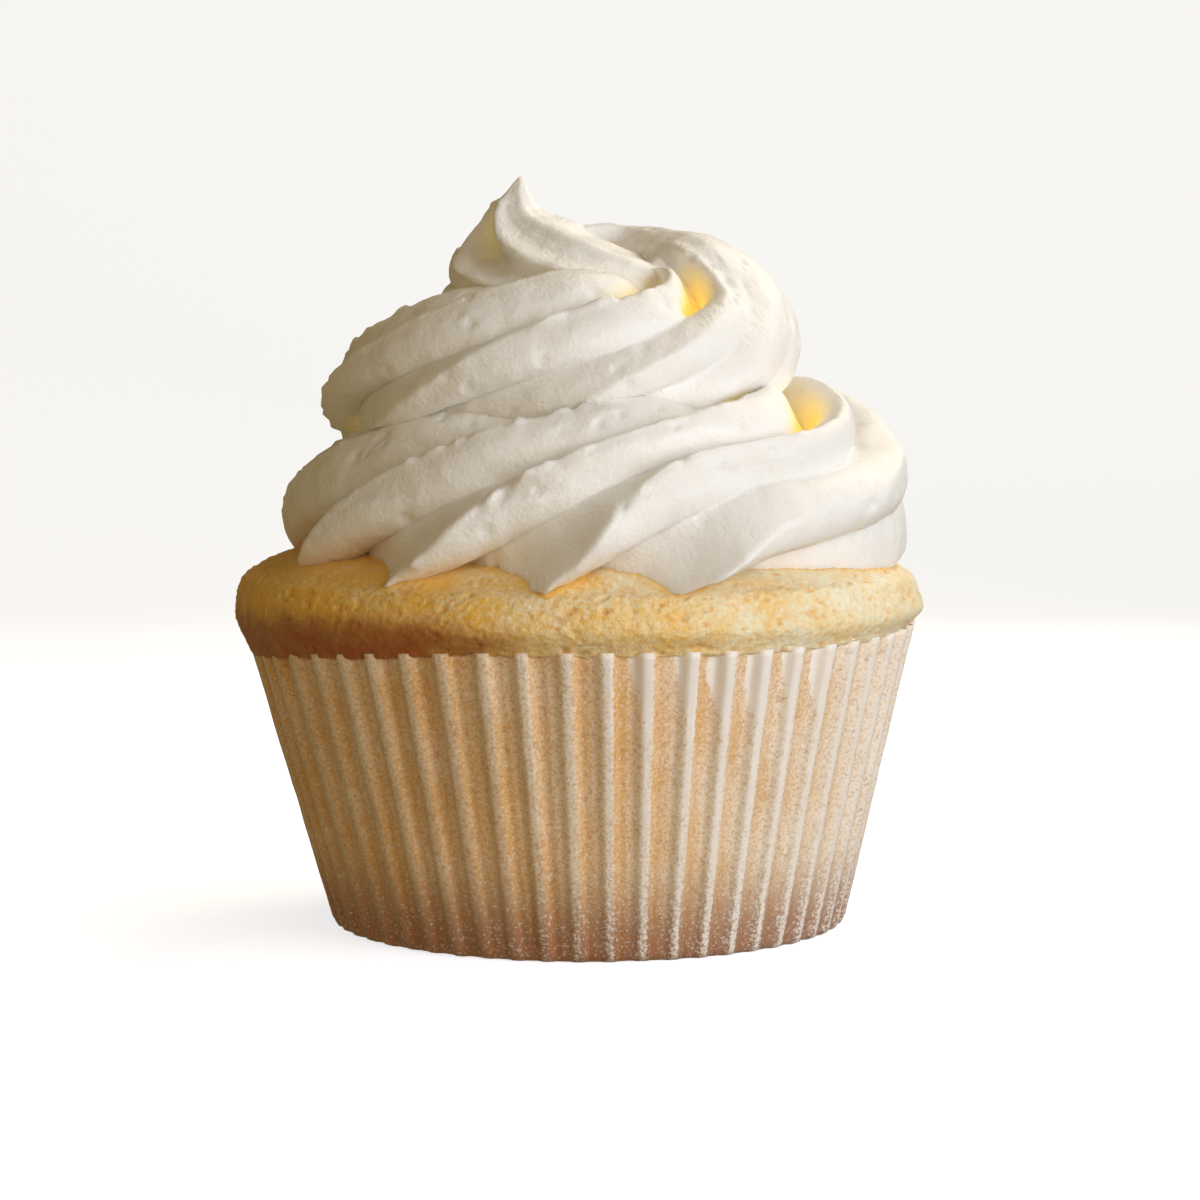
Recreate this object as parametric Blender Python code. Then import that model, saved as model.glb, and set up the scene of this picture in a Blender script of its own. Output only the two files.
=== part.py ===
"""Cupcake: a domed sponge baked in a pleated paper case, topped with a piped star-tip swirl.

Units are metres, +Z is up, and the origin is the centre of the case's flat base.  The case and
the cake lean a little towards -X, as a hand-filled cupcake does.  The swirl is one rope of
frosting squeezed through a six-pointed tip: it goes round twice, anticlockwise seen from above,
and ends in a pulled peak.
"""
import math

import bmesh
import bpy
import numpy as np

MM = 0.001
TURN = 2 * math.pi

# Paper case
CASE_HEIGHT = 28.8 * MM
CASE_BASE_RADIUS = 25.6 * MM
CASE_FLARE = 0.262                 # radius gained for each unit of height
CASE_CORNER = 0.6 * MM             # rounding between the base and the wall
CASE_WALL = 0.4 * MM
PLEATS = 54
PLEAT_PHASE = math.radians(1.4)    # direction of the first ridge
PLEAT_DEPTH_BASE = 0.5 * MM
PLEAT_DEPTH_RIM = 0.95 * MM
PLEAT_SHAPE = [(-0.15, 0.0), (0.15, 0.0), (0.32, 1.0), (0.68, 1.0)]   # place in the pleat, depth
RIM_UNEVEN = 0.35 * MM
RIM_TILT = 1.0 * MM
RIM_TILT_TURN = 0.25               # radians from +X, clockwise, to where the rim is highest
LEAN = -0.9 * MM                   # sideways shift of the case's rim

# Cake
FIT_GAP = 0.3 * MM                 # air between touching pieces
SIDE_SLACK = 0.2 * MM              # more air between the sponge's side and the paper's folds
SIDE_MIDDLE = 0.6                  # height of the side's middle ring, as a share of the rim's
FOOT_INSET = 1.5 * MM
CAKE_SIDES = 52
CRUST_LIP_RADIUS = 33.2 * MM
CRUST_LIP_ROWS = 5                 # rows of the profile up to the lip
# Crust above the lip: radius, height, share of the rim's tilt, of the swell and of the front's dip
CRUST = [
    (34.10, 30.8, 0.4, 0.6, 0.0),
    (33.90, 32.6, 0.0, 1.0, 0.0),
    (33.25, 34.7, 0.0, 1.0, 0.6),
    (31.40, 36.1, 0.0, 0.5, 1.0),
    (27.30, 37.6, 0.0, 0.0, 1.0),
    (18.80, 38.8, 0.0, 0.0, 0.6),
    (9.40, 39.6, 0.0, 0.0, 0.2),
]
DOME_TOP = 40.0 * MM
FRONT_DIP = 1.3 * MM               # the crust sits lower at the front
CRUST_UNEVEN = 0.17 * MM
CRUST_WAVES = [(2, 0.6, 1.0), (5, 2.0, 0.6), (9, 0.0, 0.5)]   # waves round the crust, start, size

# Frosting rope, one row for each quarter turn or so:
# turn, reach from the axis, height, half width, half height, roll of the star in degrees,
# lean (how far the section's top sits in), groove depth, how wide the grooves gape
TIP_POINTS = 6
ROPE = [
    (-0.62, 23.8, 37.0, 2.0, 1.6, -565, 0.00, 0.05, 0.5),
    (-0.56, 23.9, 37.4, 5.5, 3.6, -529, 0.00, 0.08, 0.5),
    (-0.46, 23.3, 38.2, 7.2, 4.8, -469, 0.00, 0.12, 0.5),
    (-0.25, 22.5, 40.0, 8.4, 5.8, -343, 0.00, 0.30, 0.5),
    (0.00, 22.4, 42.0, 9.5, 7.2, -179, 0.22, 0.40, 0.2),
    (0.25, 22.0, 43.2, 9.1, 8.2, -43, 0.18, 0.38, 0.0),
    (0.35, 22.2, 43.9, 8.9, 8.7, 17, 0.22, 0.42, 0.4),
    (0.42, 22.3, 44.4, 8.7, 9.1, 59, 0.26, 0.50, 1.0),
    (0.50, 22.4, 45.0, 8.6, 9.4, 107, 0.30, 0.50, 1.0),
    (0.75, 20.2, 49.0, 8.8, 7.8, 235, 0.35, 0.42, 0.8),
    (1.00, 16.2, 53.9, 7.7, 6.3, 336, 0.40, 0.38, 0.3),
    (1.25, 15.4, 57.1, 7.8, 6.8, 440, 0.40, 0.38, 0.0),
    (1.33, 15.2, 58.3, 7.6, 7.1, 480, 0.40, 0.44, 0.5),
    (1.40, 15.0, 59.4, 7.5, 7.4, 530, 0.40, 0.52, 1.0),
    (1.50, 14.8, 60.7, 7.5, 7.6, 595, 0.38, 0.52, 1.0),
    (1.75, 10.0, 63.3, 7.0, 6.8, 665, 0.30, 0.40, 0.8),
    (1.87, 8.0, 63.5, 6.2, 6.2, 700, 0.20, 0.30, 0.6),
    (2.00, 6.0, 61.5, 4.5, 4.5, 740, 0.00, 0.20, 0.5),
]
COIL_AXIS = [(-0.62, 0.65), (0.6, 0.65), (1.0, -2.2), (1.5, -2.0), (1.8, -3.0), (2.0, -3.6)]
GROOVE_PHASE = -0.135              # turn from the roll's zero to the first groove
CREST_LOW = 0.45                   # place of the sharp edge in a band under the rope
CREST_HIGH = 0.85                  # and near its top, where each band is pressed down
CREST_OPEN = 0.60                  # and where the grooves gape
CREST_CLIMB = (-60, 25)            # degrees round the section over which the edge moves up
CREST_INSIDE = (100, 160)          # and over which it moves back on the hidden side
BAND_CURVE = 0.46                  # share of half a sine wave that swells from groove to edge
BAND_FULLNESS = 0.85               # under 1: the band is fuller near the groove
BAND_FALL = 0.9
SECTIONS_PER_TURN = 90
POINTS_PER_BAND = 8

# Cap over the last coil, drawn up into the peak:
# height, radius, sideways place, turn of its ridges in degrees, groove depth
CAP = [
    (54.0, 12.0, -2.2, 350, 0.20),
    (58.0, 12.6, -2.2, 330, 0.25),
    (62.0, 12.6, -2.2, 300, 0.32),
    (64.0, 12.2, -2.4, 275, 0.36),
    (65.0, 11.2, -3.0, 262, 0.38),
    (66.0, 9.8, -3.8, 252, 0.40),
    (67.0, 8.2, -4.7, 245, 0.42),
    (68.0, 6.5, -5.7, 241, 0.44),
    (69.0, 4.8, -6.6, 238, 0.44),
    (70.0, 3.3, -7.3, 235, 0.42),
    (71.0, 2.4, -7.4, 230, 0.36),
    (72.2, 1.45, -7.1, 222, 0.25),
    (73.3, 0.75, -6.9, 214, 0.15),
    (74.1, 0.15, -6.8, 208, 0.0),
]
CAP_SMOOTH_SIDE = 20               # direction, in degrees, in which the cap's grooves fade
CAP_FADE = 0.65
CAP_SECTIONS = 60

# Core that fills the coils: height, radius, sideways place
CORE = [(34.6, 22.0, 0.65), (46.0, 21.5, 0.2), (51.0, 17.5, -1.3), (56.0, 14.0, -2.2),
        (60.0, 13.0, -2.2), (63.5, 5.0, -4.5)]
CORE_SIDES = 48

FROSTING_VOXEL = 0.6 * MM
FROSTING_FACES = 5600


def clear_scene():
    for obj in list(bpy.data.objects):
        bpy.data.objects.remove(obj)


def material(name, colour, roughness):
    mat = bpy.data.materials.new(name)
    mat.use_nodes = True
    shader = mat.node_tree.nodes["Principled BSDF"]
    shader.inputs["Base Color"].default_value = (*colour, 1.0)
    shader.inputs["Roughness"].default_value = roughness
    shader.inputs["Metallic"].default_value = 0.0
    return mat


def new_object(name, verts, faces, mat):
    mesh = bpy.data.meshes.new(name)
    mesh.from_pydata([tuple(map(float, v)) for v in verts], [], faces)
    mesh.validate()
    mesh.materials.append(mat)
    obj = bpy.data.objects.new(name, mesh)
    bpy.context.collection.objects.link(obj)
    return obj


def smooth(obj, angle):
    obj.data.shade_smooth()
    obj.data.set_sharp_from_angle(angle=math.radians(angle))


def ring_faces(first, second, count):
    """Quads between two rings of points, given the index each ring starts at."""
    faces = []
    for i in range(count):
        j = (i + 1) % count
        faces.append((first + i, first + j, second + j, second + i))
    return faces


def skin(rings):
    """Verts and faces of a closed skin through rings of equal length, lowest ring first."""
    count = len(rings[0])
    verts = [p for ring in rings for p in ring]
    faces = []
    for k in range(len(rings) - 1):
        faces += ring_faces(k * count, (k + 1) * count, count)
    last = (len(rings) - 1) * count
    verts.append(np.mean(rings[0], axis=0))
    verts.append(np.mean(rings[-1], axis=0))
    low, high = len(verts) - 2, len(verts) - 1
    for i in range(count):
        j = (i + 1) % count
        faces.append((low, j, i))
        faces.append((high, last + i, last + j))
    return verts, faces


def curve_through(x, rows, column):
    """Smooth value of one column at x, on an Akima curve through the rows' points."""
    x = np.asarray(x, dtype=float)
    xs = np.array([row[0] for row in rows], dtype=float)
    ys = np.array([row[column] for row in rows], dtype=float)
    step = np.diff(ys) / np.diff(xs)
    step = np.concatenate([[2 * step[0] - step[1]], step, [2 * step[-1] - step[-2]]])
    step = np.concatenate([[2 * step[0] - step[1]], step, [2 * step[-1] - step[-2]]])
    ahead = np.abs(step[3:] - step[2:-1])
    behind = np.abs(step[1:-2] - step[:-3])
    total = np.maximum(ahead + behind, 1e-9)
    even = 0.5 * (step[1:-2] + step[2:-1])
    slope = np.where(ahead + behind > 1e-9, (ahead * step[1:-2] + behind * step[2:-1]) / total, even)
    i = np.clip(np.searchsorted(xs, x) - 1, 0, len(xs) - 2)
    width = xs[i + 1] - xs[i]
    u = (x - xs[i]) / width
    value = ys[i] * (1 + 2 * u) * (1 - u) ** 2 + ys[i + 1] * u * u * (3 - 2 * u)
    return value + width * u * (1 - u) * (slope[i] * (1 - u) - slope[i + 1] * u)


def lean_at(height):
    return LEAN * height / CASE_HEIGHT


def case_radius(height):
    return CASE_BASE_RADIUS + CASE_FLARE * height


def rim_height(angle):
    """Cut edge of the paper: it stands higher on the right and dips on the left."""
    tilt = RIM_TILT * math.cos(angle + RIM_TILT_TURN)
    return CASE_HEIGHT + tilt + RIM_UNEVEN * math.sin(3 * angle + 1.0)


def pleat_ring(height_of, inset, depth):
    """Pleated ring of points: ridges reach the case's radius, valleys lie a depth inside it."""
    ring = []
    for k in range(PLEATS):
        for place, fold in PLEAT_SHAPE:
            angle = PLEAT_PHASE + TURN * (k + place) / PLEATS
            height = height_of(angle)
            radius = case_radius(height) - fold * depth - inset
            ring.append((lean_at(height) + radius * math.cos(angle), radius * math.sin(angle), height))
    return ring


def make_paper_case(mat):
    floor = CASE_WALL
    flat_radius = CASE_BASE_RADIUS - CASE_CORNER
    outer_base = [(flat_radius * math.cos(a), flat_radius * math.sin(a), 0.0) for a in pleat_angles()]
    outer_corner = pleat_ring(lambda a: CASE_CORNER, 0.0, PLEAT_DEPTH_BASE)
    outer_rim = pleat_ring(rim_height, 0.0, PLEAT_DEPTH_RIM)
    inner_rim = pleat_ring(rim_height, CASE_WALL, PLEAT_DEPTH_RIM)
    inner_corner = pleat_ring(lambda a: CASE_CORNER + floor, CASE_WALL, PLEAT_DEPTH_BASE)
    inner_flat = flat_radius - 0.5 * CASE_WALL
    inner_base = [(inner_flat * math.cos(a), inner_flat * math.sin(a), floor) for a in pleat_angles()]
    rings = [outer_base, outer_corner, outer_rim, inner_rim, inner_corner, inner_base]
    verts, faces = skin(rings)
    obj = new_object("paper_case", verts, faces, mat)
    smooth(obj, 25)
    return obj


def pleat_angles():
    return [PLEAT_PHASE + TURN * (k + place) / PLEATS for k in range(PLEATS) for place, _ in PLEAT_SHAPE]


def crust_profile(angle):
    """Radius and height from the foot of the cake up its side, over the lip to the dome's top."""
    dip = FRONT_DIP * (0.5 - 0.5 * math.sin(angle)) ** 2
    swell = CRUST_UNEVEN * sum(size * math.sin(count * angle + start) for count, start, size in CRUST_WAVES)
    rim = rim_height(angle)
    foot = CASE_WALL + FIT_GAP
    corner = CASE_CORNER + foot
    beside_paper = CASE_WALL + FIT_GAP + SIDE_SLACK
    middle = SIDE_MIDDLE * rim
    rows = [
        (CASE_BASE_RADIUS - CASE_CORNER - FOOT_INSET, foot),
        (case_radius(corner) - PLEAT_DEPTH_BASE - beside_paper, corner),
        (case_radius(middle) - PLEAT_DEPTH_RIM - beside_paper + SIDE_SLACK, middle),
        (case_radius(rim) - PLEAT_DEPTH_RIM - beside_paper, rim),
        (CRUST_LIP_RADIUS, rim + FIT_GAP),
    ]
    for radius, height, rise, uneven, sink in CRUST:
        rows.append((
            radius * MM + uneven * swell,
            height * MM + rise * (rim - CASE_HEIGHT) - sink * dip,
        ))
    return rows


def turned_rings(profile_at, first, rise):
    """Rings through the profile's rows from the given one on, lifted by rise."""
    angles = [TURN * k / CAKE_SIDES for k in range(CAKE_SIDES)]
    profiles = [profile_at(a) for a in angles]
    rings = []
    for row in range(first, len(profiles[0])):
        ring = []
        for a, profile in zip(angles, profiles):
            radius, height = profile[row]
            ring.append((lean_at(height) + radius * math.cos(a), radius * math.sin(a), height + rise))
        rings.append(ring)
    return rings


def make_cake(mat):
    verts, faces = skin(turned_rings(crust_profile, 0, 0.0))
    verts[-1] = (lean_at(DOME_TOP), 0.0, DOME_TOP)
    obj = new_object("cake", verts, faces, mat)
    smooth(obj, 50)
    return obj


def share_of(limits, value):
    low, high = limits
    return np.clip((value - low) / (high - low), 0, 1)


def smooth_step(x):
    return x * x * (3 - 2 * x)


def band_shape(place, around, groove, gape):
    """Radius over one band of the star, where place 0 and 1 are its lower and upper groove.

    The sharp edge between two grooves moves up the band as the band climbs the rope's outer
    side, is central underneath and inside, and moves back where the grooves gape.
    """
    degrees = (np.degrees(around) + 180) % 360 - 180
    climb = smooth_step(share_of(CREST_CLIMB, degrees))
    inside = share_of(CREST_INSIDE, np.abs(degrees))
    crest = CREST_LOW + (CREST_HIGH - CREST_LOW) * climb * (1 - inside)
    crest = crest + gape * (CREST_OPEN - crest)
    swell = np.sin(BAND_CURVE * math.pi * np.clip(place / crest, 0, 1)) / math.sin(BAND_CURVE * math.pi)
    fall = np.clip((1 - place) / (1 - crest), 0, 1)
    height = np.where(place < crest, swell ** BAND_FULLNESS, fall ** BAND_FALL)
    return 1 - groove * (1 - height)


def make_rope():
    """Skin of the piped rope along its coil, in metres."""
    turns = np.linspace(ROPE[0][0], ROPE[-1][0], int((ROPE[-1][0] - ROPE[0][0]) * SECTIONS_PER_TURN))
    columns = [curve_through(turns, ROPE, c)[:, None] for c in range(1, 9)]
    reach, height, half_width, half_height, roll, lean, groove, gape = columns
    centre_x = curve_through(turns, COIL_AXIS, 1)[:, None]
    angle = (math.pi + TURN * turns)[:, None]
    line = np.hstack([centre_x + reach * np.cos(angle), reach * np.sin(angle), height])
    along = np.gradient(line, turns, axis=0)
    along /= np.linalg.norm(along, axis=1)[:, None]
    outward = np.hstack([np.cos(angle), np.sin(angle), 0 * angle])
    outward -= (outward * along).sum(axis=1)[:, None] * along
    outward /= np.linalg.norm(outward, axis=1)[:, None]
    upward = np.cross(outward, along)
    point = np.arange(TIP_POINTS * POINTS_PER_BAND)[None, :] / POINTS_PER_BAND
    around = TURN * (roll / 360 + GROOVE_PHASE + point / TIP_POINTS)
    star = band_shape(point % 1, around, groove, gape)
    above = half_height * np.sin(around) * star
    across = half_width * np.cos(around) * star - lean * above
    spread = across[..., None] * outward[:, None, :] + above[..., None] * upward[:, None, :]
    return skin(list((line[:, None, :] + spread) * MM))


def make_cap():
    """Skin of the cap: its ridges carry on from the last coil and wind up into the peak."""
    step = np.linspace(0, len(CAP) - 1, CAP_SECTIONS)
    rows = [(k, *row) for k, row in enumerate(CAP)]
    height, radius, centre_x, wind, groove = [curve_through(step, rows, c)[:, None] for c in range(1, 6)]
    point = np.arange(TIP_POINTS * POINTS_PER_BAND)[None, :] / (TIP_POINTS * POINTS_PER_BAND)
    around = np.radians(wind) + TURN * point
    fade = 1 - CAP_FADE * (0.5 + 0.5 * np.cos(around - math.radians(CAP_SMOOTH_SIDE)))
    ridge = 1 - groove * fade * (1 - np.abs(np.cos(math.pi * TIP_POINTS * point)))
    x = centre_x + radius * ridge * np.cos(around)
    y = radius * ridge * np.sin(around)
    z = np.broadcast_to(height, x.shape)
    return skin(list(np.stack([x, y, z], axis=-1) * MM))


def make_core():
    angles = TURN * np.arange(CORE_SIDES) / CORE_SIDES
    rings = []
    for height, radius, centre_x in CORE:
        x = centre_x + radius * np.cos(angles)
        y = radius * np.sin(angles)
        rings.append(np.stack([x, y, np.full_like(x, height)], axis=-1) * MM)
    return skin(rings)


def evaluated_copy(obj, name):
    """Replace an object by one that holds its mesh with all modifiers worked out."""
    depsgraph = bpy.context.evaluated_depsgraph_get()
    mesh = bpy.data.meshes.new_from_object(obj.evaluated_get(depsgraph))
    mesh.name = name
    bpy.data.objects.remove(obj)
    result = bpy.data.objects.new(name, mesh)
    bpy.context.collection.objects.link(result)
    return result


def keep_largest_body(mesh):
    """Fill the air pockets between the coils, by dropping every skin but the outer one."""
    bm = bmesh.new()
    bm.from_mesh(mesh)
    left = set(bm.faces)
    bodies = []
    while left:
        body = set()
        front = [left.pop()]
        while front:
            face = front.pop()
            body.add(face)
            for edge in face.edges:
                for other in edge.link_faces:
                    if other in left:
                        left.remove(other)
                        front.append(other)
        bodies.append(body)
    bodies.sort(key=len)
    inner = [face for body in bodies[:-1] for face in body]
    bmesh.ops.delete(bm, geom=inner, context="FACES")
    bm.to_mesh(mesh)
    bm.free()


def make_frosting(mat):
    verts = []
    faces = []
    for part_verts, part_faces in (make_rope(), make_cap(), make_core()):
        start = len(verts)
        verts += list(part_verts)
        faces += [tuple(i + start for i in face) for face in part_faces]
    obj = new_object("swirl", verts, faces, mat)
    remesh = obj.modifiers.new("join the coils", "REMESH")
    remesh.mode = "VOXEL"
    remesh.voxel_size = FROSTING_VOXEL
    obj = evaluated_copy(obj, "frosting")
    keep_largest_body(obj.data)
    decimate = obj.modifiers.new("fewer faces", "DECIMATE")
    decimate.ratio = FROSTING_FACES / sum(len(p.vertices) - 2 for p in obj.data.polygons)
    cutter = make_dome_cutter(mat)
    cut = obj.modifiers.new("rest on the crust", "BOOLEAN")
    cut.operation = "DIFFERENCE"
    cut.solver = "EXACT"
    cut.object = cutter
    smooth(obj, 40)
    return obj


def make_dome_cutter(mat):
    """The cake's dome, one fit gap larger, which shapes the underside of the frosting."""
    rings = turned_rings(crust_profile, CRUST_LIP_ROWS, FIT_GAP)
    verts, faces = skin(rings)
    top = (lean_at(DOME_TOP), 0.0, DOME_TOP + FIT_GAP)
    verts[-1] = top
    obj = new_object("dome_cutter", verts, faces, mat)
    obj.hide_render = True
    obj.display_type = "WIRE"
    return obj


def main():
    clear_scene()
    paper = material("greaseproof paper", (0.62, 0.42, 0.24), 0.55)
    sponge = material("golden sponge", (0.62, 0.36, 0.11), 0.8)
    cream = material("ivory buttercream", (0.82, 0.76, 0.62), 0.45)
    make_paper_case(paper)
    make_cake(sponge)
    make_frosting(cream)


main()
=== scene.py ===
import math
import random

import bpy
import numpy as np
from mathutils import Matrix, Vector, kdtree


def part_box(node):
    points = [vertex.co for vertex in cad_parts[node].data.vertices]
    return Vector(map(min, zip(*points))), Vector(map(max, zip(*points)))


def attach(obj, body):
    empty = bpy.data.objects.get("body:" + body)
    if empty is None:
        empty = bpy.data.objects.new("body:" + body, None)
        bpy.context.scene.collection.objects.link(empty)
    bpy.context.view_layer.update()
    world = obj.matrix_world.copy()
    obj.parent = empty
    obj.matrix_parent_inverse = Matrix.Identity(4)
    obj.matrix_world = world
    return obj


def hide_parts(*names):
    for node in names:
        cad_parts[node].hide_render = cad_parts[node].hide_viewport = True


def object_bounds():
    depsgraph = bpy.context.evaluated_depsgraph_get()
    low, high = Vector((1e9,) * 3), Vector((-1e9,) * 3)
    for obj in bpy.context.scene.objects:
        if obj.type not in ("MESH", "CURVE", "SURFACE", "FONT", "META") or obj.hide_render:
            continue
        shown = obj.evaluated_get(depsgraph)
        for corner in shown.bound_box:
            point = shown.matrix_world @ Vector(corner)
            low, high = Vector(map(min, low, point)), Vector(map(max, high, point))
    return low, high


# Cupcake: pleated greaseproof case, golden sponge with a browned crust, piped ivory buttercream.
# The shapes are worked out in millimetres and made metres when a mesh is filled.
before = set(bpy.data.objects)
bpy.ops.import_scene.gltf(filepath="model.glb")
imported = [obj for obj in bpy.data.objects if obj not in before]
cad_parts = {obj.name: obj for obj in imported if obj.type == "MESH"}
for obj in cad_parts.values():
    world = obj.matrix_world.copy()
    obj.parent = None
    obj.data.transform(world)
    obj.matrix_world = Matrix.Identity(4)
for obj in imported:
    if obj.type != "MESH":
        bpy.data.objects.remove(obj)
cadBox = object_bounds()
mm = 0.001
turn = 2 * math.pi
caseTop, crustTop, frostingTop = [round(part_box(node)[1][2] / mm, 3)
                                 for node in ("paper_case", "cake", "frosting")]
bpy.ops.object.select_all(action="DESELECT")


def smoothStep(low, high, value):
    share = np.clip((np.asarray(value, dtype=float) - low) / (high - low), 0, 1)
    return share * share * (3 - 2 * share)


def smoothCurve(x, xs, values):
    # Akima curve through the values at xs: many x on one row of values, or one x on a table of them
    xs = np.asarray(xs, dtype=float)
    values = np.asarray(values, dtype=float)
    step = np.diff(values, axis=0) / np.diff(xs).reshape(-1, *[1] * (values.ndim - 1))
    for _ in range(2):
        step = np.concatenate([[2 * step[0] - step[1]], step, [2 * step[-1] - step[-2]]])
    ahead = np.abs(step[3:] - step[2:-1])
    behind = np.abs(step[1:-2] - step[:-3])
    slope = (ahead * step[1:-2] + behind * step[2:-1]) / np.maximum(ahead + behind, 1e-9)
    slope = np.where(ahead + behind > 1e-9, slope, 0.5 * (step[1:-2] + step[2:-1]))
    k = np.clip(np.searchsorted(xs, x) - 1, 0, len(xs) - 2)
    width = xs[k + 1] - xs[k]
    u = (x - xs[k]) / width
    value = values[k] * (1 + 2 * u) * (1 - u) ** 2 + values[k + 1] * u * u * (3 - 2 * u)
    return value + width * u * (1 - u) * (slope[k] * (1 - u) - slope[k + 1] * u)


def curveThrough(x, rows, column):
    # smooth value of one column of a table at x, which runs along the table's first column
    return smoothCurve(x, [row[0] for row in rows], [row[column] for row in rows])


def waver(along, period, seed):
    # smooth noise from -1 to 1 along a length, with one swing or so for each period
    along = np.asarray(along, dtype=float) / period
    first = math.floor(along.min()) - 1
    knots = np.random.RandomState(seed).uniform(-1, 1, int(along.max() - first) + 4)
    k = np.floor(along).astype(int)
    u = along - k
    u = u * u * (3 - 2 * u)
    return knots[k - first] * (1 - u) + knots[k - first + 1] * u


def wrapSheet(name, points, facts=None):
    # a grid wrapped round: its columns go round and meet, and a row drawn to one point is a pole
    rows, columns = points.shape[:2]
    bpy.ops.mesh.primitive_grid_add(x_subdivisions=columns, y_subdivisions=rows - 1)
    obj = bpy.context.object
    obj.name = name
    obj.data.name = name
    places = np.concatenate([points, points[:, :1]], axis=1) * mm
    obj.data.vertices.foreach_set("co", places.reshape(-1))
    for fact, values in (facts or {}).items():
        values = np.concatenate([values, values[:, :1]], axis=1)
        layer = obj.data.attributes.new(fact, "FLOAT", "POINT")
        layer.data.foreach_set("value", values.reshape(-1))
    bpy.ops.object.mode_set(mode="EDIT")
    bpy.ops.mesh.select_all(action="SELECT")
    bpy.ops.mesh.remove_doubles(threshold=0.001 * mm)
    bpy.ops.mesh.normals_make_consistent(inside=False)
    bpy.ops.object.mode_set(mode="OBJECT")
    bpy.ops.object.shade_smooth()
    return obj


def collapsed(ring):
    # the row that closes a sheet: all its points at the ring's middle
    return np.repeat(ring.mean(axis=0)[None], len(ring), axis=0)


def roughen(obj, size, strength):
    # moves the surface in and out by a cloudy texture, size and strength in mm
    texture = bpy.data.textures.new(obj.name + " relief", "CLOUDS")
    texture.noise_scale = size * mm
    modifier = obj.modifiers.new("roughen", "DISPLACE")
    modifier.texture = texture
    modifier.texture_coords = "LOCAL"
    modifier.strength = strength * mm
    modifier.mid_level = 0.5
    bpy.context.view_layer.objects.active = obj
    bpy.ops.object.modifier_apply(modifier=modifier.name)


def pressPits(obj, pits):
    # small burst bubbles: oval dents pressed in at scattered points
    mesh = obj.data
    count = len(mesh.vertices)
    places = np.empty(count * 3)
    mesh.vertices.foreach_get("co", places)
    places = places.reshape(-1, 3) / mm
    normals = np.array([v.vector for v in mesh.vertex_normals])
    tree = kdtree.KDTree(count)
    for k, place in enumerate(places):
        tree.insert(place, k)
    tree.balance()
    draw = random.Random(pits["seed"])
    moved = places.copy()
    pitted = np.zeros(count)
    for _ in range(pits["count"]):
        centre = draw.randrange(count)
        size = draw.uniform(*pits["size"])
        depth = draw.uniform(*pits["depth"])
        longWay = Vector((draw.uniform(-1, 1), draw.uniform(-1, 1), pits["upright"] * draw.uniform(-1, 1)))
        longWay.normalize()
        stretch = draw.uniform(1.0, pits["stretch"])
        for _, k, _ in tree.find_range(places[centre], size * stretch):
            offset = Vector(places[k] - places[centre])
            along = offset.dot(longWay)
            reach = math.sqrt(max(offset.length_squared - along * along, 0) + (along / stretch) ** 2) / size
            if reach < 1 and normals[k] @ normals[centre] > 0.2:
                moved[k] -= normals[centre] * depth * (1 - reach * reach) ** 2
                pitted[k] = max(pitted[k], (1 - reach * reach) ** 2)
    mesh.vertices.foreach_set("co", (moved * mm).reshape(-1))
    mesh.attributes.new("pitted", "FLOAT", "POINT").data.foreach_set("value", pitted)
    mesh.update()


def dress(obj, node, material):
    # the piece stands for a CAD node and rides with it
    obj.data.materials.clear()
    obj.data.materials.append(material)
    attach(obj, "root")
    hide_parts(node)


def hexColour(code):
    values = [int(code[k:k + 2], 16) / 255 for k in (1, 3, 5)]
    linear = [v / 12.92 if v <= 0.04045 else ((v + 0.055) / 1.055) ** 2.4 for v in values]
    return (*linear, 1.0)


def perSize(size):
    # texture scale that gives a pattern of that size in mm
    return 1 / (size * mm)


def addNode(tree, kind, settings=None, links=None):
    # settings go to a property of the node or to a socket, links run from an output socket
    node = tree.nodes.new(kind)
    for key, value in (settings or {}).items():
        if isinstance(key, str) and key in node.bl_rna.properties:
            setattr(node, key, value)
        else:
            node.inputs[key].default_value = value
    for key, output in (links or {}).items():
        tree.links.new(output, node.inputs[key])
    return node


def newMaterial(name):
    material = bpy.data.materials.new(name)
    material.use_nodes = True
    tree = material.node_tree
    return material, tree, tree.nodes["Principled BSDF"]


butterFinish = {
    "light": "#FCFBFA",
    "warm": "#FBF8F1",
    # painted glow: yellow laid into deep folds and pockets, standing in for light through the cream
    "paintedGlow": "#FBDC7C",
    "roughness": 0.42,
    "glow": 0.50,                  # share of light that passes through the fat
    "glowReach": 1.8,              # mm
    "through": 0.34,               # painted glow: emission strength in deep folds and pockets, standing in for light that comes through their thin walls
    "cloud": 9.0,                  # sizes in mm: patches of tone,
    "swell": 2.4,                  # soft swells,
    "bubble": 1.3,                 # gaps between small bubbles
    "grain": 0.45,                 # and sugar grain, coarse so that it shows
}


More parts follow.
